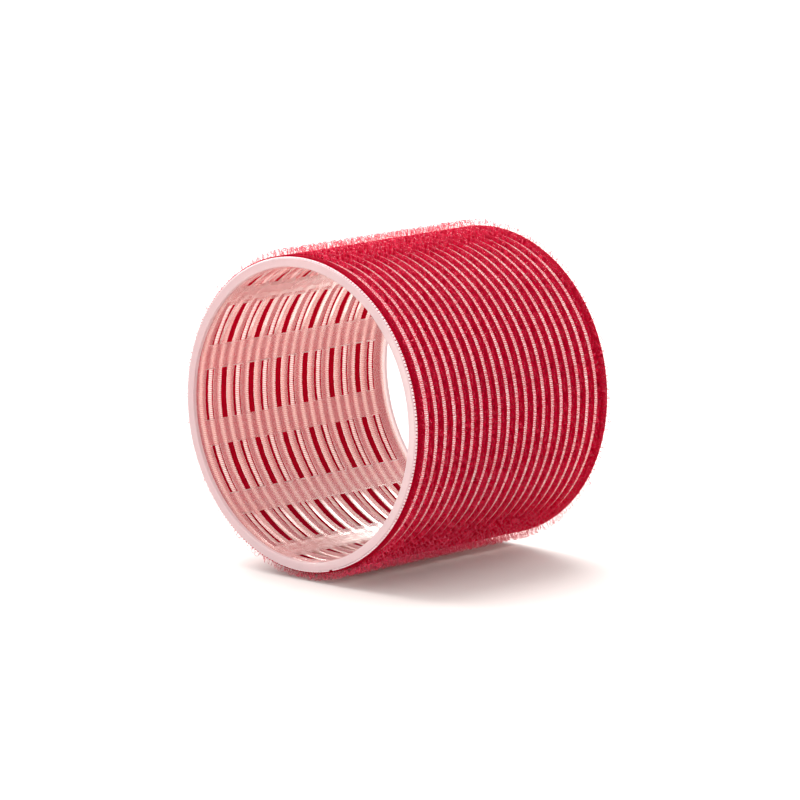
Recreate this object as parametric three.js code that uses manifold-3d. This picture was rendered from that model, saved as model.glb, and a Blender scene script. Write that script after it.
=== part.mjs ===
// Self-gripping hair roller: a slotted plastic core wrapped in a sleeve of woven hook tape.
// The roller lies on its side. Its axis runs along +Y, its open ends face -Y and +Y,
// and z = 0 is the surface that it rests on.
import * as THREE from 'three';
import { mergeVertices } from 'three/addons/utils/BufferGeometryUtils.js';
import Module from 'manifold-3d';

// Driving dimensions, in millimetres and degrees.
const CORE_LENGTH = 64;        // end face to end face
const BORE_RADIUS = 33.05;     // inside of the core
const BARREL_RADIUS = 33.95;   // slotted wall under the tape
const RIM_RADIUS = 35;         // end rims
const RIM_WIDTH = 0.4;         // axial length of each rim's full-height lip

const SLOT_ROWS = 12;          // rows of slots around the barrel
const SLOTS_PER_ROW = 13;      // slots along the barrel
const SLOT_ANGLE = 20;         // arc of one slot
const SLOT_WIDTH = 3.05;       // width of one slot along the axis

const TAPE_INNER = 34.3;       // back of the woven tape
const TAPE_OUTER = 35.6;       // face of the woven tape, which stands proud of the rims
const TAPE_LENGTH = 61.2;      // width of the woven tape, along the roller's axis
const SELVEDGE_WIDTH = 0.4;    // looped edge thread on each side of the tape
const SEAM_GAP = 1.2;          // opening between the tape's two butted ends
const SEAM_ANGLE = 285;        // the seam lies low down, over a bar between two rows of slots

const HOOK_ROWS = 21;          // rows of hooks, one on each red band of the tape
const HOOK_PITCH = 2.94;       // from one row of hooks to the next
const HOOK_ROW_WIDTH = 1.5;
const HOOK_TIP = 37.3;         // height of the hook tips above the axis

const CLEARANCE = 0.3;         // gap kept between neighbouring pieces

// Facets around each round piece. The hooks' facets are wider, so that the roller lies on one.
const BARREL_SIDES = 36;
const HOOK_SIDES = 24;

// Derived sizes.
const SLOT_PITCH = 1.5 * HOOK_PITCH;
const AXIS_HEIGHT = HOOK_TIP;
const HOOK_ROOT = TAPE_OUTER + CLEARANCE;
const CUTTER_MARGIN = 1;

const corePink = new THREE.MeshStandardMaterial({ color: 0xeec3c6, roughness: 0.35, metalness: 0 });
const wovenRed = new THREE.MeshStandardMaterial({ color: 0xb3102f, roughness: 0.85, metalness: 0 });
const hookClear = new THREE.MeshStandardMaterial({ color: 0xf3dcdc, roughness: 0.3, metalness: 0 });
const edgePink = new THREE.MeshStandardMaterial({ color: 0xecc9cc, roughness: 0.6, metalness: 0 });

const radians = THREE.MathUtils.degToRad;
const wasm = await Module();
wasm.setup();

const roller = new THREE.Group();
const axisGroup = new THREE.Group();
axisGroup.position.z = AXIS_HEIGHT;
roller.add(axisGroup);

function addPiece(name, geometry, material, axial = 0) {
  const mesh = new THREE.Mesh(geometry, material);
  mesh.name = name;
  mesh.position.y = axial;
  axisGroup.add(mesh);
}

function toSolid(geometry) {
  const bare = geometry.clone();
  bare.deleteAttribute('normal');
  bare.deleteAttribute('uv');
  const merged = mergeVertices(bare);
  return new wasm.Manifold(new wasm.Mesh({
    numProp: 3,
    vertProperties: new Float32Array(merged.attributes.position.array),
    triVerts: new Uint32Array(merged.index.array),
  }));
}

function toGeometry(solid) {
  const mesh = solid.getMesh();
  const geometry = new THREE.BufferGeometry();
  geometry.setAttribute('position', new THREE.BufferAttribute(mesh.vertProperties, 3));
  geometry.setIndex(new THREE.BufferAttribute(mesh.triVerts, 1));
  return geometry;
}

// A point of a cross-section, at an angle measured from +X towards +Z.
function polar(radius, degrees) {
  return new THREE.Vector2(radius * Math.cos(radians(degrees)), radius * Math.sin(radians(degrees)));
}

// A cross-section drawn in X and Z, drawn out along the axis and centred on y = 0.
function prism(points, length) {
  const geometry = new THREE.ExtrudeGeometry(new THREE.Shape(points), { depth: length, bevelEnabled: false });
  geometry.translate(0, 0, -length / 2);
  geometry.rotateX(Math.PI / 2);
  return geometry;
}

// A faceted ring that is open at the seam, which crosses the middle of a facet.
// The radii are measured to the facets' middles when toMiddle is true, and otherwise to the corners.
function splitRing({ inner, outer, length, sides, toMiddle = false }) {
  const step = 360 / sides;
  const halfGap = THREE.MathUtils.radToDeg(SEAM_GAP / 2 / outer);
  const cornerScale = toMiddle ? 1 / Math.cos(radians(step / 2)) : 1;
  const endScale = cornerScale * (Math.cos(radians(step / 2)) / Math.cos(radians(halfGap)));
  const outline = (radius) => {
    const points = [polar(radius * endScale, SEAM_ANGLE + halfGap)];
    for (let corner = 0; corner < sides; corner += 1) {
      points.push(polar(radius * cornerScale, SEAM_ANGLE + (corner + 0.5) * step));
    }
    points.push(polar(radius * endScale, SEAM_ANGLE - halfGap));
    return points;
  };
  return prism([...outline(outer), ...outline(inner).reverse()], length);
}

// The moulded core: a tube with an end rim on each side, pierced by rows of slots.
function makeCore() {
  const half = CORE_LENGTH / 2;
  const profile = [
    new THREE.Vector2(BORE_RADIUS, -half),
    new THREE.Vector2(RIM_RADIUS, -half),
    new THREE.Vector2(RIM_RADIUS, -half + RIM_WIDTH),
    new THREE.Vector2(BARREL_RADIUS, -half + RIM_WIDTH),
    new THREE.Vector2(BARREL_RADIUS, half - RIM_WIDTH),
    new THREE.Vector2(RIM_RADIUS, half - RIM_WIDTH),
    new THREE.Vector2(RIM_RADIUS, half),
    new THREE.Vector2(BORE_RADIUS, half),
    new THREE.Vector2(BORE_RADIUS, -half),
  ];
  let wedges = null;
  for (let row = 0; row < SLOT_ROWS; row += 1) {
    const centre = (row * 360) / SLOT_ROWS;
    const wedge = toSolid(prism([
      polar(BORE_RADIUS - CUTTER_MARGIN, centre - SLOT_ANGLE / 2),
      polar(RIM_RADIUS + CUTTER_MARGIN, centre - SLOT_ANGLE / 2),
      polar(RIM_RADIUS + CUTTER_MARGIN, centre + SLOT_ANGLE / 2),
      polar(BORE_RADIUS - CUTTER_MARGIN, centre + SLOT_ANGLE / 2),
    ], CORE_LENGTH));
    wedges = wedges ? wedges.add(wedge) : wedge;
  }
  let bands = null;
  for (let slot = 0; slot < SLOTS_PER_ROW; slot += 1) {
    const slab = new THREE.BoxGeometry(3 * RIM_RADIUS, SLOT_WIDTH, 3 * RIM_RADIUS);
    slab.translate(0, (slot - (SLOTS_PER_ROW - 1) / 2) * SLOT_PITCH, 0);
    const band = toSolid(slab);
    bands = bands ? bands.add(band) : band;
  }
  const tube = toSolid(new THREE.LatheGeometry(profile, BARREL_SIDES));
  return toGeometry(tube.subtract(wedges.intersect(bands)));
}

addPiece('core_barrel', makeCore(), corePink);

// The woven ground of the tape, wrapped once round the barrel, with a looped thread on each edge.
addPiece('ground_tape', splitRing({
  inner: TAPE_INNER,
  outer: TAPE_OUTER,
  length: TAPE_LENGTH,
  sides: BARREL_SIDES,
}), wovenRed);
const selvedgePlace = TAPE_LENGTH / 2 + CLEARANCE + SELVEDGE_WIDTH / 2;
for (const [name, side] of [['selvedge_front', -1], ['selvedge_back', 1]]) {
  addPiece(name, splitRing({
    inner: TAPE_INNER,
    outer: TAPE_OUTER,
    length: SELVEDGE_WIDTH,
    sides: BARREL_SIDES,
  }), edgePink, side * selvedgePlace);
}

// The hooks stand on the red bands. The pale stripes between the bands carry none.
for (let row = 0; row < HOOK_ROWS; row += 1) {
  addPiece(`hook_row_${String(row + 1).padStart(2, '0')}`, splitRing({
    inner: HOOK_ROOT,
    outer: HOOK_TIP,
    length: HOOK_ROW_WIDTH,
    sides: HOOK_SIDES,
    toMiddle: true,
  }), hookClear, (row - (HOOK_ROWS - 1) / 2) * HOOK_PITCH);
}

export default roller;
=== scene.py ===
"""Looks of the self-gripping hair roller: a slotted translucent core in a sleeve of striped hook tape."""

import math

import bpy
import numpy as np
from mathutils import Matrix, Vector


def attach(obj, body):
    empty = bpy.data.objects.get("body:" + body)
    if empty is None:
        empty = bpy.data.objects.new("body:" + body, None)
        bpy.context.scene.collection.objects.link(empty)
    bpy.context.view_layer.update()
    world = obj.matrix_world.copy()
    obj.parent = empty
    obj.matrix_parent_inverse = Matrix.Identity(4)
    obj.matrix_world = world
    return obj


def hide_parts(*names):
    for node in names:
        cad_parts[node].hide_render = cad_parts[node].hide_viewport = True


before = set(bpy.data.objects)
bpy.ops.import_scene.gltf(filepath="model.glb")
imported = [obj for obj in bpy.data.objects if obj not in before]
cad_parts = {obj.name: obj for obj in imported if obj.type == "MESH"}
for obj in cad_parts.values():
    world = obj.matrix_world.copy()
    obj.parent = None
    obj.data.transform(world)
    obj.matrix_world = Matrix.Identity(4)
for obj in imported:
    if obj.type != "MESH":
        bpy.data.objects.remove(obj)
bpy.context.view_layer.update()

# Camera: a three-quarter view of the open front end, from a little above.
CAMERA_AZIMUTH = math.radians(43.0)
CAMERA_ELEVATION = math.radians(10.1)
CAMERA_DISTANCE = 1.30
CAMERA_TARGET = Vector((0.00038, 0.00045, 0.03654))
CAMERA_LENS = 259.4
CAMERA_SENSOR = 36
CAMERA_CLIP = (0.05, 20)

# The roller, in millimetres and degrees. Angles run from +X towards +Z about the axis.
MM = 0.001
AXIS_HEIGHT = 37.3              # the roller lies on its hook tips
CORE_HALF = 32.0                # half of the core's length
BORE_RADIUS = 33.05
BARREL_RADIUS = 33.95
RIM_RADIUS = 35.0
RIM_WIDTH = 0.62
INNER_RIM_WIDTH = 0.95          # thicker, paler zone inside each end of the bore
EDGE_BEVEL = 0.22
SLOT_ROWS = 12
SLOTS_PER_ROW = 13
SLOT_ANGLE = 20.0
SLOT_WIDTH = 3.05

BANDS = 21                      # red bands of the tape, with a see-through stripe between each two
BAND_PITCH = 2.94
STRIPE_WIDTH = 1.36
SLOT_PITCH = 1.5 * BAND_PITCH
TAPE_FRONT = -31.3
TAPE_BACK = 31.2
TAPE_INNER = 34.6
TAPE_OUTER = 35.56              # crown of the red bands
STRIPE_OUTER = 34.84
STRIPE_INNER = 34.73
BACK_ROUNDING = 0.08            # how far the back of a red band falls away at its edges
BAND_WAVES, BAND_SWAY = 17, 0.03                # slow sway of the bands from side to side
ROW_JITTER, EDGE_JITTER, FACE_JITTER = 0.008, 0.045, 0.015
BAND_SPANS = 6                  # mesh steps across one red band, and across one stripe
STRIPE_SPANS = 3
TAPE_SEGMENTS = 720             # mesh steps round the roller
SEAM_ANGLE = 285.0              # where the tape's two ends meet
SEAM_GAP = 0.9

HOOK_TIP = 37.3
HOOK_SPACING = 1.2              # from hook to hook in one column, round the roller
HOOK_ROOT = 0.12                # depth at which a hook starts inside the tape
HOOK_COLUMNS = ((-0.42, 0.0), (0.42, 0.5))      # place across the band, and stagger round the roller
FRONT_EDGE_COLUMNS = ((-1.2, 0.25),)            # more hooks on the two wider edge bands
BACK_EDGE_COLUMNS = ((1.1, 0.25), (1.6, 0.75))
HOOK_HEIGHT = {"mean": 1.25, "spread": 0.3, "low": 0.5, "high": 1.9}
HOOK_CROOK = {"mean": 0.48, "spread": 0.12, "low": 0.25, "high": 0.8}
CROOK_TURN = (1.1 * math.pi, 1.7 * math.pi)     # how far a crook turns before it is cut off
CROOK_OVERHANG = 0.6                            # share of the crook that is set back over the stem
HOOK_SWING, HOOK_LEAN, HOOK_TILT, HOOK_BULGE = 0.6, 0.16, 0.14, 0.12
FILAMENT = 0.048                # radius of the hooks' filament
STEM_POINTS = 4                 # along the straight part of a hook, and along its crook
CROOK_POINTS = 7
EDGE_TURNS = 276                # turns of the weft thread along one edge of the tape
LOOP_THREAD = 0.16              # radius of the weft thread at the edge
LOOP_RADIUS = RIM_RADIUS + 0.12 # each turn lies half sunk on the rim
LOOP_HALF_WIDTH = 0.18
LOOP_REACH = 0.44
LOOP_TUCK = 0.08                # part of each turn that stays under the tape's edge
LOOP_POINTS = 9

TAPE_SEED, HOOK_SEED, LOOP_SEED = 11, 100, 500

# Ribs of the weave.
WEFT_PITCH = 0.47
BACK_WEFT_PITCH = 0.45
WARP_PITCH = 0.29
WEAVE_RELIEF = 0.12 * MM

# Colours.
WHITE = (1, 1, 1, 1)
CORE_PALE, CORE_DEEP = (0.97, 0.61, 0.62, 1), (0.95, 0.54, 0.56, 1)
RIM_PALE, RIM_DEEP = (0.72, 0.59, 0.6, 1), (0.68, 0.55, 0.565, 1)
CORE_TINT = (1.0, 0.985, 0.95, 1)
# The darker red is painted shade for the hollows of the weave; the lighter red is the band's own colour.
RED_HOLLOW_SHADE, RED_RIB = (0.05, 0.0, 0.003, 1), (0.4, 0.0, 0.02, 1)
RED_SHEEN, RED_THROUGH = (1.0, 0.1, 0.2, 1), (0.95, 0.012, 0.085, 1)
# The near-white stripe colour is painted light: pale patches standing in for light shining out through the slots.
STRIPE_SHADOW, STRIPE_PINK, STRIPE_PAINTED_LIGHT = (0.5, 0.01, 0.05, 1), (1.0, 0.62, 0.72, 1), (1.0, 0.96, 0.98, 1)
STRIPE_THROUGH_SHADOW, STRIPE_THROUGH = (0.9, 0.35, 0.36, 1), (1.0, 0.95, 0.92, 1)
STRIPE_TINT = (1.0, 0.98, 0.98, 1)
BACK_SHADOW, BACK_THREAD, BACK_TINT = (0.75, 0.25, 0.22, 1), (1.0, 0.98, 0.9, 1), (1.0, 0.99, 0.99, 1)
HOOK_TINT, HOOK_BODY = (0.98, 0.82, 0.8, 1), (0.86, 0.045, 0.13, 1)
LOOP_TINT, LOOP_BODY = (1.0, 0.9, 0.9, 1), (0.82, 0.64, 0.66, 1)
FLOOR_DEEP, FLOOR_PALE = (0.505, 0.465, 0.448, 1), (0.525, 0.485, 0.468, 1)

# Light.
WORLD_LOW = 0.54
WORLD_HIGH = 2.15
WORLD_BRIGHT_SIDE = Vector((-0.6, 0.3, 0.74))
LIGHT_AIM = Vector((0, 0, 0.037))
KEY_PLACE, KEY_SIZE, KEY_POWER = (-0.85, 0.35, 1.5), 2.3, 82.0
FILL_PLACE, FILL_SIZE, FILL_POWER = (1.1, -1.3, 0.32), 1.2, 22.0
FLOOR_HALF = 6.0                # metres
TRANSPARENT_BOUNCES = 48


def place_camera():
    data = bpy.data.cameras.new("camera")
    data.lens = CAMERA_LENS
    data.sensor_width = CAMERA_SENSOR
    data.clip_start, data.clip_end = CAMERA_CLIP
    camera = bpy.data.objects.new("camera", data)
    back = Vector((
        math.sin(CAMERA_AZIMUTH) * math.cos(CAMERA_ELEVATION),
        -math.cos(CAMERA_AZIMUTH) * math.cos(CAMERA_ELEVATION),
        math.sin(CAMERA_ELEVATION),
    ))
    camera.location = CAMERA_TARGET + back * CAMERA_DISTANCE
    camera.rotation_mode = "QUATERNION"
    camera.rotation_quaternion = (-back).to_track_quat("-Z", "Y")
    bpy.context.collection.objects.link(camera)
    bpy.context.scene.camera = camera


place_camera()


# ---------------------------------------------------------------- mesh helpers

def cylinder_points(radius, theta, axial):
    """Points at a radius and angle (radians) about the roller's axis, in metres."""
    radius, theta, axial = np.broadcast_arrays(radius, theta, axial)
    return np.stack([
        radius * np.cos(theta) * MM,
        axial * MM,
        (AXIS_HEIGHT + radius * np.sin(theta)) * MM,
    ], axis=-1)


def make_object(name, points, faces, materials, uv=None, face_material=None):
    """A smooth mesh object. faces is an (n, 4) array, and uv holds one pair per vertex."""
    points = np.asarray(points, dtype=np.float32).reshape(-1, 3)
    faces = np.asarray(faces, dtype=np.int32)
    corners = faces.shape[1]
    mesh = bpy.data.meshes.new(name)
    mesh.vertices.add(len(points))
    mesh.vertices.foreach_set("co", points.ravel())
    mesh.loops.add(faces.size)
    mesh.loops.foreach_set("vertex_index", faces.ravel())
    mesh.polygons.add(len(faces))
    mesh.polygons.foreach_set("loop_start", np.arange(0, faces.size, corners, dtype=np.int32))
    mesh.polygons.foreach_set("loop_total", np.full(len(faces), corners, dtype=np.int32))
    if uv is not None:
        layer = mesh.uv_layers.new(name="UVMap")
        layer.data.foreach_set("uv", np.asarray(uv, dtype=np.float32)[faces.ravel()].ravel())
    for material in materials:
        mesh.materials.append(material)
    if face_material is not None:
        mesh.polygons.foreach_set("material_index", np.asarray(face_material, dtype=np.int32))
    mesh.polygons.foreach_set("use_smooth", np.full(len(faces), True))
    mesh.update(calc_edges=True)
    mesh.validate()
    obj = bpy.data.objects.new(name, mesh)
    bpy.context.collection.objects.link(obj)
    return obj


def declare(obj, node):
    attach(obj, "root")
    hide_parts(node)


# ---------------------------------------------------------------- materials

class Nodes:
    """Shorthand for building one material's node tree."""

    def __init__(self, name):
        self.material = bpy.data.materials.new(name)
        self.material.use_nodes = True
        self.tree = self.material.node_tree
        self.tree.nodes.clear()

    def add(self, kind, inputs=None, **settings):
        node = self.tree.nodes.new(kind)
        for key, value in settings.items():
            setattr(node, key, value)
        for key, value in (inputs or {}).items():
            self.feed(node, key, value)
        return node

    def feed(self, node, key, value):
        if isinstance(value, bpy.types.NodeSocket):
            self.tree.links.new(value, node.inputs[key])
        else:
            node.inputs[key].default_value = value

    def shader(self, kind, **inputs):
        """A shader node's output. An input's name is given with _ for each space."""
        return self.add(kind, {key.replace("_", " "): value for key, value in inputs.items()}).outputs[0]

    def math(self, operation, first, second=0.0, third=0.0):
        node = self.add("ShaderNodeMath", {0: first, 1: second, 2: third}, operation=operation)
        return node.outputs[0]

    def ramp(self, value, low, high, first=0.0, last=1.0):
        return self.add("ShaderNodeMapRange", {0: value, 1: low, 2: high, 3: first, 4: last}).outputs[0]

    def mix(self, factor, first, second):
        """Two colours mixed."""
        node = self.add("ShaderNodeMix", {"Factor": factor}, data_type="RGBA")
        self.feed(node, 6, first)
        self.feed(node, 7, second)
        return node.outputs[2]

    def blend(self, factor, first, second):
        """Two shaders mixed."""
        return self.add("ShaderNodeMixShader", {0: factor, 1: first, 2: second}).outputs[0]

    def place(self, kind):
        return self.add("ShaderNodeTexCoord").outputs[kind]

    def noise(self, vector, scale, detail):
        return self.add("ShaderNodeTexNoise", {"Vector": vector, "Scale": scale, "Detail": detail}).outputs["Fac"]

    def wave(self, distance, pitch):
        return self.math("SINE", self.math("MULTIPLY", distance, 2 * math.pi / pitch))

    def bump(self, height, strength, distance):
        return self.add("ShaderNodeBump", {"Strength": strength, "Distance": distance, "Height": height}).outputs[0]

    def output(self, shader):
        self.add("ShaderNodeOutputMaterial", {"Surface": shader})
        return self.material


def core_material(name, through, pale, deep):
    """Milky plastic: part of the light goes through, slightly blurred, and part is scattered."""
    n = Nodes(name)
    place = n.place("Object")
    cloud = n.noise(place, 60.0, 3.0)
    ripple = n.noise(place, 260.0, 2.0)
    colour = n.mix(cloud, deep, pale)
    relief = n.bump(ripple, 0.25, 0.2 * MM)

    face = n.shader("ShaderNodeBsdfDiffuse", Color=colour, Normal=relief)
    glow = n.shader("ShaderNodeBsdfTranslucent", Color=colour, Normal=relief)
    body = n.blend(0.5, face, glow)

    bent = n.shader("ShaderNodeBsdfRefraction", Color=CORE_TINT, Roughness=0.2, IOR=1.12, Normal=relief)
    straight = n.shader("ShaderNodeBsdfTransparent", Color=CORE_TINT)
    shadow_ray = n.add("ShaderNodeLightPath").outputs["Is Shadow Ray"]
    see = n.blend(n.math("MULTIPLY_ADD", shadow_ray, 0.35, 0.65), bent, straight)

    edge_on = n.add("ShaderNodeLayerWeight", {"Blend": 0.5}).outputs["Facing"]
    mass = n.blend(n.ramp(edge_on, 0.6, 1.0, through, through * 0.6), body, see)
    rough = n.math("MULTIPLY_ADD", cloud, 0.12, 0.2)
    gloss = n.shader("ShaderNodeBsdfGlossy", Color=WHITE, Roughness=rough, Normal=relief)
    shine = n.add("ShaderNodeFresnel", {"IOR": 1.2, "Normal": relief}).outputs[0]
    return n.output(n.blend(shine, mass, gloss))


def woven_red_material():
    """Fine ribbed weave: weft ribs across the tape, warp ends along it, and painted shade in the hollows, where the
    red is darker as the relief is lower.
    """
    n = Nodes("woven_red_band")
    uv = n.place("UV")
    split = n.add("ShaderNodeSeparateXYZ", {0: uv})
    cell = n.math("MULTIPLY", n.wave(split.outputs[0], WEFT_PITCH), n.wave(split.outputs[1], WARP_PITCH))
    grain = n.noise(uv, 3.0, 3.0)
    height = n.math("MULTIPLY_ADD", cell, 0.5, n.math("MULTIPLY", grain, 1.2))
    # Painted shade: the colour follows the relief and is darker in the weave's hollows.
    hollow_shade = n.math("MULTIPLY_ADD", cell, 0.2, n.ramp(grain, 0.42, 0.62))
    colour = n.mix(hollow_shade, RED_HOLLOW_SHADE, RED_RIB)
    relief = n.bump(height, 0.7, WEAVE_RELIEF)
    face = n.shader(
        "ShaderNodeBsdfPrincipled", Base_Color=colour, Roughness=0.85, Normal=relief, Sheen_Weight=0.03,
        Sheen_Roughness=0.4, Sheen_Tint=RED_SHEEN, Specular_IOR_Level=0.02,
    )
    glow = n.shader("ShaderNodeBsdfTranslucent", Color=RED_THROUGH, Normal=relief)
    return n.output(n.blend(0.34, face, glow))


def clear_stripe_material():
    """Clear weft threads side by side, with fine red shadows between them and random pale patches of painted light,
    standing in for light that shines out through the core's slots.
    """
    n = Nodes("woven_clear_stripe")
    uv = n.place("UV")
    split = n.add("ShaderNodeSeparateXYZ", {0: uv})
    uneven = n.math("MULTIPLY_ADD", n.noise(uv, 0.9, 1.0), 0.35, split.outputs[0])
    weft = n.wave(uneven, WEFT_PITCH)
    thread = n.ramp(weft, -0.6, 0.3)
    # Random pale patches of painted light, in place of light coming through from inside the roller.
    light_patch = n.ramp(n.noise(uv, 0.22, 1.0), 0.46, 0.6)
    near = n.mix(thread, STRIPE_SHADOW, n.mix(light_patch, STRIPE_PINK, STRIPE_PAINTED_LIGHT))
    far = n.mix(thread, STRIPE_THROUGH_SHADOW, STRIPE_THROUGH)
    relief = n.bump(weft, 0.8, WEAVE_RELIEF)
    face = n.shader("ShaderNodeBsdfPrincipled", Base_Color=near, Roughness=0.35, Normal=relief)
    glow = n.shader("ShaderNodeBsdfTranslucent", Color=far, Normal=relief)
    clear = n.shader("ShaderNodeBsdfTransparent", Color=STRIPE_TINT)
    share = n.math("MULTIPLY_ADD", thread, 0.18, 0.18)
    return n.output(n.blend(share, n.blend(0.34, face, glow), clear))


def clear_back_material():
    """The back of the clear stripes: pale weft threads with warm shadows between them."""
    n = Nodes("woven_clear_back")
    split = n.add("ShaderNodeSeparateXYZ", {0: n.place("UV")})
    weft = n.wave(split.outputs[0], BACK_WEFT_PITCH)
    relief = n.bump(weft, 0.8, WEAVE_RELIEF)
    colour = n.mix(n.ramp(weft, -1.0, 0.2), BACK_SHADOW, BACK_THREAD)
    face = n.shader("ShaderNodeBsdfDiffuse", Color=colour, Normal=relief)
    glow = n.shader("ShaderNodeBsdfTranslucent", Color=colour, Normal=relief)
    clear = n.shader("ShaderNodeBsdfTransparent", Color=BACK_TINT)
    share = n.math("MULTIPLY_ADD", weft, -0.1, 0.35)
    return n.output(n.blend(share, n.blend(0.5, face, glow), clear))


def filament_material(name, tint, body, through, rough):
    """Drawn filament: you see through it, tinted, with a bright line of gloss along it."""
    n = Nodes(name)
    deep = tuple(channel * 0.75 for channel in body[:3]) + (1,)
    colour = n.mix(n.noise(n.place("Object"), 700.0, 1.0), deep, body)
    solid = n.shader("ShaderNodeBsdfPrincipled", Base_Color=colour, Roughness=rough, IOR=1.5)
    clear = n.shader("ShaderNodeBsdfTransparent", Color=tint)
    return n.output(n.blend(through, solid, clear))


CORE = core_material("core_milky_pink", through=0.78, pale=CORE_PALE, deep=CORE_DEEP)
CORE_RIM = core_material("core_rim_pink", through=0.15, pale=RIM_PALE, deep=RIM_DEEP)
WOVEN_RED = woven_red_material()
CLEAR_STRIPE = clear_stripe_material()
CLEAR_BACK = clear_back_material()
FILAMENTS = filament_material("hook_monofilament", tint=HOOK_TINT, body=HOOK_BODY, through=0.52, rough=0.22)
LOOPS = filament_material("edge_loop_thread", tint=LOOP_TINT, body=LOOP_BODY, through=0.03, rough=0.5)


# ---------------------------------------------------------------- core

def core_columns():
    """Angles round the core, and whether a slot is open from each angle to the next."""
    per_slot, per_bar = 8, 4
    step = math.radians(SLOT_ANGLE / per_slot)
    bar_step = math.radians((360 / SLOT_ROWS - SLOT_ANGLE) / per_bar)
    theta, is_open = [], []
    for row in range(SLOT_ROWS):
        start = math.radians(row * 360 / SLOT_ROWS - SLOT_ANGLE / 2)
        theta += [start + part * step for part in range(per_slot)]
        theta += [start + per_slot * step + part * bar_step for part in range(per_bar)]
        is_open += [True] * per_slot + [False] * per_bar
    return np.array(theta), is_open


def core_profile():
    """Places along the core, its outside radius there, and whether a slot is open up to the next place."""
    axial = [-CORE_HALF, -CORE_HALF + RIM_WIDTH, -CORE_HALF + RIM_WIDTH]
    outer = [RIM_RADIUS, RIM_RADIUS, BARREL_RADIUS]
    is_open = [False, False, False]
    for slot in range(SLOTS_PER_ROW):
        centre = (slot - (SLOTS_PER_ROW - 1) / 2) * SLOT_PITCH
        axial += [centre - SLOT_WIDTH / 2, centre + SLOT_WIDTH / 2]
        outer += [BARREL_RADIUS, BARREL_RADIUS]
        is_open += [True, False]
    axial += [CORE_HALF - RIM_WIDTH, CORE_HALF - RIM_WIDTH, CORE_HALF]
    outer += [BARREL_RADIUS, RIM_RADIUS, RIM_RADIUS]
    is_open += [False, False]
    return np.array(axial), np.array(outer), is_open


def make_core():
    """The moulded tube, with square slots cut clean through its wall."""
    theta, open_column = core_columns()
    axial, outer, open_span = core_profile()
    around, along = len(theta), len(axial)
    inner_axial = axial.copy()
    inner_axial[2] = INNER_RIM_WIDTH - CORE_HALF
    inner_axial[-3] = CORE_HALF - INNER_RIM_WIDTH
    grid_outer = cylinder_points(outer[None, :], theta[:, None], axial[None, :])
    grid_inner = cylinder_points(BORE_RADIUS, theta[:, None], inner_axial[None, :])
    points = np.concatenate([grid_outer.reshape(-1, 3), grid_inner.reshape(-1, 3)])

    def at(i, j, inside):
        return (i % around) * along + j + inside * around * along

    def hole(i, j):
        return 0 <= j < along - 1 and open_column[i % around] and open_span[j]

    faces, kinds = [], []
    for i in range(around):
        for j in range(along - 1):
            if hole(i, j):
                continue
            inner_face = (at(i, j, 1), at(i + 1, j, 1), at(i + 1, j + 1, 1), at(i, j + 1, 1))
            cell = [(at(i, j, 0), at(i, j + 1, 0), at(i + 1, j + 1, 0), at(i + 1, j, 0)), inner_face]
            if j == 0 or hole(i, j - 1):
                cell.append((at(i, j, 0), at(i + 1, j, 0), at(i + 1, j, 1), at(i, j, 1)))
            if j == along - 2 or hole(i, j + 1):
                cell.append((at(i, j + 1, 0), at(i, j + 1, 1), at(i + 1, j + 1, 1), at(i + 1, j + 1, 0)))
            if hole(i - 1, j):
                cell.append((at(i, j, 0), at(i, j, 1), at(i, j + 1, 1), at(i, j + 1, 0)))
            if hole(i + 1, j):
                cell.append((at(i + 1, j, 0), at(i + 1, j + 1, 0), at(i + 1, j + 1, 1), at(i + 1, j, 1)))
            faces += cell
            lip = j in (0, along - 2)
            inner_lip = j in (0, 1, along - 3, along - 2)
            kinds += [int(inner_lip if face is inner_face else lip) for face in cell]
    obj = make_object("core", points, faces, [CORE, CORE_RIM], face_material=kinds)
    bevel = obj.modifiers.new("edges", "BEVEL")
    bevel.width = EDGE_BEVEL * MM
    bevel.segments = 2
    bevel.limit_method = "ANGLE"
    bevel.angle_limit = math.radians(40)
    bevel.harden_normals = True
    declare(obj, "core_barrel")


make_core()


# ---------------------------------------------------------------- tape

def tape_profile():
    """Across the tape: place, outside radius, inside radius, and whether a clear stripe follows."""
    first_stripe = -(BANDS - 2) / 2 * BAND_PITCH
    profile = []
    edge = TAPE_FRONT
    for band in range(BANDS):
        last_band = band == BANDS - 1
        stripe = first_stripe + band * BAND_PITCH
        stop = TAPE_BACK if last_band else stripe - STRIPE_WIDTH / 2
        for across in np.arange(BAND_SPANS + 1) / BAND_SPANS:
            crown = 1 - (2 * across - 1) ** 4
            if band == 0 and across < 0.5 or last_band and across > 0.5:
                crown = 1.0
            top = STRIPE_OUTER + (TAPE_OUTER - STRIPE_OUTER) * crown
            profile.append((edge + (stop - edge) * across, top, TAPE_INNER + BACK_ROUNDING * (1 - crown), 0))
        if not last_band:
            for part in range(STRIPE_SPANS + 1):
                across = 0.02 + 0.96 * part / STRIPE_SPANS
                place = stripe - STRIPE_WIDTH / 2 + STRIPE_WIDTH * across
                profile.append((place, STRIPE_OUTER, STRIPE_INNER, int(part < STRIPE_SPANS)))
            edge = stripe + STRIPE_WIDTH / 2
    axial, outer, inner, clear = zip(*profile)
    return np.array(axial), np.array(outer), np.array(inner), clear


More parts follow.
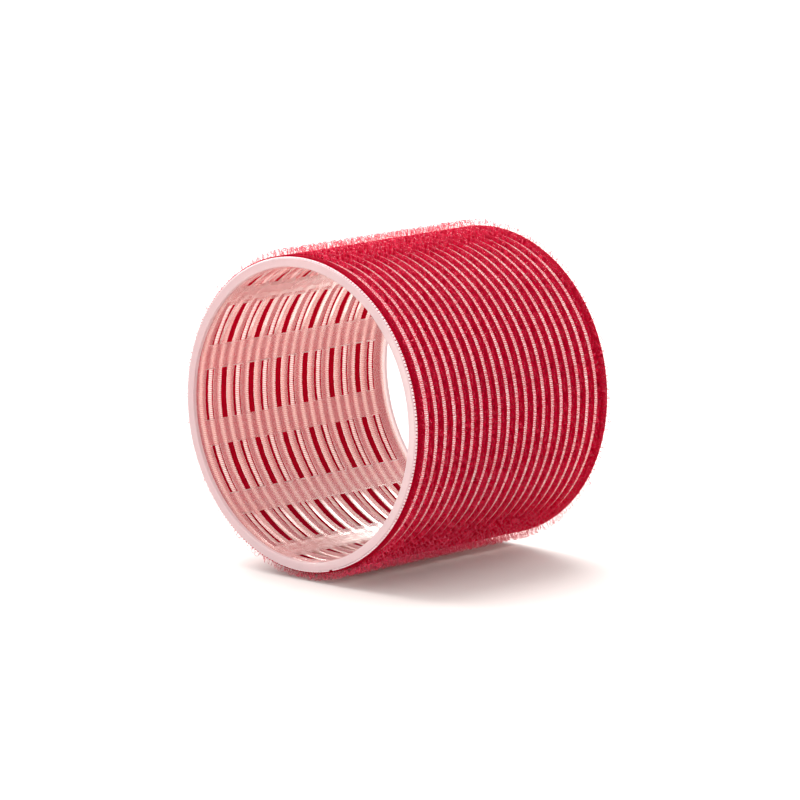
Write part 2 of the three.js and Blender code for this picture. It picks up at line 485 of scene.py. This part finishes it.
def make_tape():
    """The tape: crowned red bands with thin see-through stripes woven between them."""
    rng = np.random.default_rng(TAPE_SEED)
    axial, outer, inner, clear = tape_profile()
    across, rows = len(axial), TAPE_SEGMENTS + 1
    gap = math.degrees(SEAM_GAP / 2 / TAPE_OUTER)
    theta = np.radians(np.linspace(SEAM_ANGLE + gap - 360, SEAM_ANGLE - gap, rows))
    wander = BAND_SWAY * np.sin(theta * BAND_WAVES)[:, None] + rng.normal(0, ROW_JITTER, (rows, 1))
    wander = wander + rng.normal(0, EDGE_JITTER, (rows, across))
    wander[:, 0] = wander[:, -1] = 0
    shift = axial[None, :] + wander
    radial = rng.normal(0, FACE_JITTER, (rows, across))
    grid_outer = cylinder_points(outer[None, :] + radial, theta[:, None], shift)
    grid_inner = cylinder_points(inner[None, :] + radial * 0.5, theta[:, None], shift)
    points = np.concatenate([grid_outer.reshape(-1, 3), grid_inner.reshape(-1, 3)])
    arc = theta * TAPE_OUTER
    uv = np.stack(np.broadcast_arrays(arc[:, None], axial[None, :]), axis=-1).reshape(-1, 2)

    def at(i, j, inside):
        return i * across + j + inside * rows * across

    faces, kinds = [], []
    last = across - 1
    for i in range(TAPE_SEGMENTS):
        for j in range(last):
            faces.append((at(i, j, 0), at(i, j + 1, 0), at(i + 1, j + 1, 0), at(i + 1, j, 0)))
            faces.append((at(i, j, 1), at(i + 1, j, 1), at(i + 1, j + 1, 1), at(i, j + 1, 1)))
            kinds += [clear[j], 2 * clear[j]]
        faces.append((at(i, 0, 0), at(i + 1, 0, 0), at(i + 1, 0, 1), at(i, 0, 1)))
        faces.append((at(i, last, 0), at(i, last, 1), at(i + 1, last, 1), at(i + 1, last, 0)))
        kinds += [0, 0]
    end = TAPE_SEGMENTS
    for j in range(last):
        faces.append((at(0, j, 0), at(0, j, 1), at(0, j + 1, 1), at(0, j + 1, 0)))
        faces.append((at(end, j, 0), at(end, j + 1, 0), at(end, j + 1, 1), at(end, j, 1)))
        kinds += [clear[j], clear[j]]
    obj = make_object(
        "tape", points, faces, [WOVEN_RED, CLEAR_STRIPE, CLEAR_BACK],
        uv=np.concatenate([uv, uv]), face_material=kinds,
    )
    declare(obj, "ground_tape")


make_tape()


# ---------------------------------------------------------------- filaments

def sweep(paths, radius, sides=4):
    """Capped tubes along many paths at once. paths is (tubes, points, 3), in millimetres."""
    tubes, count, _ = paths.shape
    tangent = np.gradient(paths, axis=1)
    tangent /= np.linalg.norm(tangent, axis=2, keepdims=True)
    middle = paths[:, count // 2]
    guide = np.cross(paths[:, 0] - middle, paths[:, -1] - middle)
    guide /= np.linalg.norm(guide, axis=1, keepdims=True) + 1e-9
    normal = np.broadcast_to(guide[:, None, :], paths.shape)
    other = np.cross(tangent, normal)
    other /= np.linalg.norm(other, axis=2, keepdims=True) + 1e-9
    turn = (np.arange(sides) * 2 * math.pi / sides)[None, None, :, None]
    ring = (normal[:, :, None, :] * np.cos(turn) + other[:, :, None, :] * np.sin(turn)) * radius
    points = (paths[:, :, None, :] + ring).reshape(-1, 3)

    start = np.arange(tubes) * count * sides
    base = start[:, None, None] + (np.arange(count - 1) * sides)[None, :, None]
    k = np.arange(sides)[None, None, :]
    a, b = base + k, base + (k + 1) % sides
    walls = np.stack([a, b, b + sides, a + sides], axis=-1).reshape(-1, 4)
    caps = []
    for first, direction in ((0, -1), ((count - 1) * sides, 1)):
        for corner in range(1, sides - 2, 2):
            order = [0, corner, corner + 1, corner + 2][::direction]
            caps.append(np.stack([start + first + step for step in order], axis=-1))
    return points, np.concatenate([walls, *caps])


def wrap(local, theta, axial):
    """Local points (arc, along, distance from the axis) to the roller's frame, in metres."""
    angle = theta[:, None] + local[..., 0] / TAPE_OUTER
    return cylinder_points(local[..., 2], angle, axial[:, None] + local[..., 1])


SEAM_START = math.radians(SEAM_ANGLE) - 2 * math.pi + SEAM_GAP / TAPE_OUTER / 2
TAPE_ARC = 2 * math.pi - SEAM_GAP / TAPE_OUTER


def hook_places(rng, row):
    """Where the hooks of one red band stand. The two edge bands are wider and carry more."""
    centre = (row - (BANDS - 1) / 2) * BAND_PITCH
    around = int(2 * math.pi * TAPE_OUTER / HOOK_SPACING)
    step = TAPE_ARC / around
    columns = HOOK_COLUMNS
    if row == 0:
        columns += FRONT_EDGE_COLUMNS
    if row == BANDS - 1:
        columns += BACK_EDGE_COLUMNS
    theta, axial = [], []
    for column, stagger in columns:
        theta.append(SEAM_START + (np.arange(around) + 0.25 + stagger) * step + rng.normal(0, 0.1, around) * step)
        axial.append(centre + column + rng.normal(0, 0.08, around))
    return np.concatenate(theta), np.concatenate(axial)


def clipped(rng, total, mean, spread, low, high):
    return np.clip(rng.normal(mean, spread, total), low, high)


def make_hooks(row):
    """Filaments that stand up from one band, then turn over in a crook that is cut off short."""
    rng = np.random.default_rng(HOOK_SEED + row)
    theta, axial = hook_places(rng, row)
    total = len(theta)
    height = clipped(rng, total, **HOOK_HEIGHT)
    crook = clipped(rng, total, **HOOK_CROOK)
    highest = HOOK_TIP - 2 * FILAMENT
    shrink = np.minimum(1.0, (highest - TAPE_OUTER + HOOK_ROOT) / (height + crook))
    height, crook = height * shrink, crook * shrink
    ends = rng.uniform(*CROOK_TURN, total)
    plane = rng.normal(0.0, HOOK_SWING, total) + np.where(rng.random(total) < 0.5, 0.0, math.pi)
    lean = rng.normal(0.0, HOOK_LEAN, total)
    tilt = rng.normal(0.0, HOOK_TILT, total)
    bulge = rng.normal(0.0, HOOK_BULGE, total)

    rise = np.linspace(0, 1, STEM_POINTS)
    stem_u = bulge[:, None] * np.sin(rise * math.pi)[None, :]
    stem_h = rise[None, :] * height[:, None]
    turn = np.linspace(0, 1, CROOK_POINTS + 1)[None, 1:] * ends[:, None]
    arc_u = crook[:, None] * (1 - np.cos(turn))
    arc_h = height[:, None] + crook[:, None] * np.sin(turn)
    u = np.concatenate([stem_u, arc_u], axis=1) - crook[:, None] * CROOK_OVERHANG
    h = np.concatenate([stem_h, arc_h], axis=1)
    local = np.stack([
        u * np.cos(plane)[:, None] + h * np.tan(lean)[:, None],
        u * np.sin(plane)[:, None] + h * np.tan(tilt)[:, None],
        np.minimum(TAPE_OUTER - HOOK_ROOT + h, highest),
    ], axis=-1)
    world = wrap(local, theta, axial)
    world[..., 2] = np.maximum(world[..., 2], FILAMENT * MM)
    points, faces = sweep(world / MM, FILAMENT)
    obj = make_object(f"hooks_{row + 1:02d}", points * MM, faces, [FILAMENTS])
    declare(obj, f"hook_row_{row + 1:02d}")


for hook_row in range(BANDS):
    make_hooks(hook_row)


def make_edge_loops(name, node, side, edge):
    """The weft thread's turns, which come out from under the tape's edge and lie on the rim."""
    rng = np.random.default_rng(LOOP_SEED + side)
    theta = SEAM_START + (np.arange(EDGE_TURNS) + 0.5) * TAPE_ARC / EDGE_TURNS
    turn = np.linspace(0, math.pi, LOOP_POINTS)[None, :]
    reach = rng.normal(LOOP_REACH, 0.03, (EDGE_TURNS, 1))
    slant = rng.normal(0.0, 0.05, (EDGE_TURNS, 1))
    local = np.stack([
        LOOP_HALF_WIDTH * np.cos(turn) + slant * np.sin(turn),
        side * (reach * np.sin(turn) - LOOP_TUCK),
        np.full((EDGE_TURNS, LOOP_POINTS), LOOP_RADIUS),
    ], axis=-1)
    world = wrap(local, theta, np.full(EDGE_TURNS, edge))
    points, faces = sweep(world / MM, LOOP_THREAD, sides=6)
    obj = make_object(name, points * MM, faces, [LOOPS])
    declare(obj, node)


make_edge_loops("edge_loops_front", "selvedge_front", -1, TAPE_FRONT)
make_edge_loops("edge_loops_back", "selvedge_back", 1, TAPE_BACK)


# ---------------------------------------------------------------- stage and light

def make_floor():
    n = Nodes("floor_white")
    speck = n.noise(n.place("Object"), 12.0, 2.0)
    colour = n.mix(speck, FLOOR_DEEP, FLOOR_PALE)
    material = n.output(n.shader("ShaderNodeBsdfPrincipled", Base_Color=colour, Roughness=0.9))
    size = FLOOR_HALF
    points = [(-size, -size, 0), (size, -size, 0), (size, size, 0), (-size, size, 0)]
    make_object("floor", points, [(0, 1, 2, 3)], [material])


def area_light(name, place, size, power):
    """A round soft box aimed at the roller."""
    data = bpy.data.lights.new(name, "AREA")
    data.shape = "DISK"
    data.size = size
    data.energy = power
    light = bpy.data.objects.new(name, data)
    light.location = place
    light.rotation_mode = "QUATERNION"
    light.rotation_quaternion = (LIGHT_AIM - Vector(place)).to_track_quat("-Z", "Y")
    bpy.context.collection.objects.link(light)


def make_world():
    """A white studio, brighter above and behind the roller than in front of it, and plain white to the camera."""
    world = bpy.data.worlds.new("studio")
    world.use_nodes = True
    tree = world.node_tree
    tree.nodes.clear()
    place = tree.nodes.new("ShaderNodeTexCoord")
    dot = tree.nodes.new("ShaderNodeVectorMath")
    dot.operation = "DOT_PRODUCT"
    dot.inputs[1].default_value = WORLD_BRIGHT_SIDE.normalized()
    tree.links.new(place.outputs["Generated"], dot.inputs[0])
    ramp = tree.nodes.new("ShaderNodeMapRange")
    ramp.inputs["From Min"].default_value = -1.0
    ramp.inputs["From Max"].default_value = 1.0
    ramp.inputs["To Min"].default_value = WORLD_LOW
    ramp.inputs["To Max"].default_value = WORLD_HIGH
    tree.links.new(dot.outputs["Value"], ramp.inputs["Value"])
    soft = tree.nodes.new("ShaderNodeBackground")
    soft.inputs["Color"].default_value = WHITE
    tree.links.new(ramp.outputs[0], soft.inputs["Strength"])
    white = tree.nodes.new("ShaderNodeBackground")
    white.inputs["Color"].default_value = WHITE
    path = tree.nodes.new("ShaderNodeLightPath")
    both = tree.nodes.new("ShaderNodeMixShader")
    tree.links.new(path.outputs["Is Camera Ray"], both.inputs[0])
    tree.links.new(soft.outputs[0], both.inputs[1])
    tree.links.new(white.outputs[0], both.inputs[2])
    out = tree.nodes.new("ShaderNodeOutputWorld")
    tree.links.new(both.outputs[0], out.inputs["Surface"])
    bpy.context.scene.world = world


make_floor()
make_world()
area_light("key", KEY_PLACE, KEY_SIZE, KEY_POWER)
area_light("fill", FILL_PLACE, FILL_SIZE, FILL_POWER)
bpy.context.scene.view_settings.view_transform = "Standard"
bpy.context.scene.cycles.transparent_max_bounces = TRANSPARENT_BOUNCES
